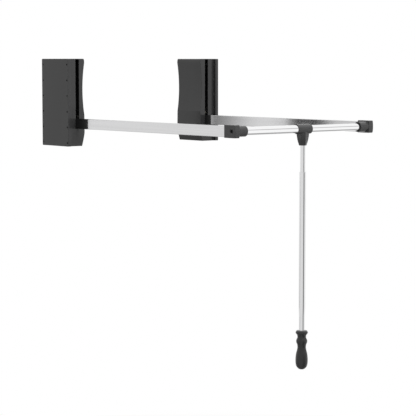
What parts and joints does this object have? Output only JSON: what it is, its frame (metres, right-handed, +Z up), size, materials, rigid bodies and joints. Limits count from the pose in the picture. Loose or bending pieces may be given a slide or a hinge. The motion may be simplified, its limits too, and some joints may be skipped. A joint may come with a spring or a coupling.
{
  "type": "pull down closet rod",
  "caption": "Wall mounted closet rod on two spring balanced arms that swings down to hand height by a hanging pull pole.",
  "frame": {"origin": "where the arms' pivot axis meets the wall face of the left wall plate", "axes": "+X from the left wall to the right wall, +Y towards the back of the closet, +Z up; the arms are drawn lowered, pointing along -Y out of the closet"},
  "size_m": [0.56, 0.824, 0.8271],
  "materials": {
    "housing_plastic": "black moulded plastic with a satin sheen",
    "fitting_plastic": "black moulded plastic with a soft gloss",
    "grip_plastic": "black fine textured plastic",
    "black_steel": "black coated steel",
    "zinc_steel": "dull zinc plated steel",
    "bar_aluminium": "satin anodised aluminium, drawn lengthwise",
    "rod_chrome": "polished chrome plate",
    "pole_chrome": "bright chrome plate with a soft reflection",
    "bush_plastic": "natural coloured bearing plastic",
    "bumper_rubber": "black rubber"
  },
  "bodies": {
    "left_housing": {"left_wall_plate": "housing_plastic", "left_cover": "housing_plastic", "left_chassis": "zinc_steel", "left_chassis_screw_upper": "zinc_steel", "left_chassis_screw_lower": "zinc_steel", "left_pivot_pin": "zinc_steel", "left_pivot_clip": "zinc_steel", "left_pivot_spacer": "zinc_steel", "left_guide_rod": "zinc_steel", "left_lift_spring": "zinc_steel", "left_damper_body": "black_steel", "left_lowered_bumper": "bumper_rubber", "left_raised_bumper": "bumper_rubber"},
    "swing_frame": {"left_pivot_bush": "bush_plastic", "left_arm_lever": "black_steel", "left_crank_pin": "zinc_steel", "left_arm_rivet_upper": "zinc_steel", "left_arm_rivet_lower": "zinc_steel", "left_arm_bar": "bar_aluminium", "left_end_block": "fitting_plastic", "left_block_screw": "black_steel", "left_tube_plug": "bush_plastic", "outer_tube": "rod_chrome", "tube_end_bush": "fitting_plastic"},
    "right_housing": {"right_wall_plate": "housing_plastic", "right_cover": "housing_plastic", "right_chassis": "zinc_steel", "right_chassis_screw_upper": "zinc_steel", "right_chassis_screw_lower": "zinc_steel", "right_pivot_pin": "zinc_steel", "right_pivot_clip": "zinc_steel", "right_pivot_spacer": "zinc_steel", "right_guide_rod": "zinc_steel", "right_lift_spring": "zinc_steel", "right_damper_body": "black_steel", "right_lowered_bumper": "bumper_rubber", "right_raised_bumper": "bumper_rubber"},
    "right_arm": {"right_pivot_bush": "bush_plastic", "right_arm_lever": "black_steel", "right_crank_pin": "zinc_steel", "right_arm_rivet_upper": "zinc_steel", "right_arm_rivet_lower": "zinc_steel", "right_arm_bar": "bar_aluminium", "right_end_block": "fitting_plastic", "right_block_screw": "black_steel", "right_tube_plug": "bush_plastic", "inner_tube": "rod_chrome"},
    "left_carriage": {"left_spring_carriage": "bush_plastic", "left_damper_rod": "zinc_steel"},
    "right_carriage": {"right_spring_carriage": "bush_plastic", "right_damper_rod": "zinc_steel"},
    "pull_pole": {"pull_tee": "fitting_plastic", "pole_rod": "pole_chrome", "pole_tube": "pole_chrome", "pole_grip": "grip_plastic"}
  },
  "joints": [
    {"name": "arm_lift", "type": "hinge", "parent": "left_housing", "child": "swing_frame", "pos_m": [0.0392, 0, 0], "axis": [-1, 0, 0], "range_deg": [0, 90]},
    {"name": "width_adjust", "type": "slide", "parent": "left_housing", "child": "right_housing", "axis": [1, 0, 0], "range_m": [-0.11, 0.05]},
    {"name": "right_arm_slide", "type": "slide", "parent": "swing_frame", "child": "right_arm", "axis": [1, 0, 0], "range_m": [-0.11, 0.05]},
    {"name": "tee_swing", "type": "hinge", "parent": "swing_frame", "child": "pull_pole", "pos_m": [0.28, -0.7165, 0.0006], "axis": [1, 0, 0], "range_deg": [-90, 90]},
    {"name": "left_carriage_slide", "type": "slide", "parent": "left_housing", "child": "left_carriage", "axis": [0, 0, -1], "range_m": [0, 0.0354], "deforming": ["left_lift_spring"]},
    {"name": "right_carriage_slide", "type": "slide", "parent": "right_housing", "child": "right_carriage", "axis": [0, 0, -1], "range_m": [0, 0.0354], "deforming": ["right_lift_spring"]}
  ],
  "couplings": [
    {"joint": "right_arm_slide", "follows": "width_adjust", "ratio": 1},
    {"joint": "left_carriage_slide", "follows": "arm_lift", "m_per_rad": 0.022508},
    {"joint": "right_carriage_slide", "follows": "arm_lift", "m_per_rad": 0.022508}
  ]
}
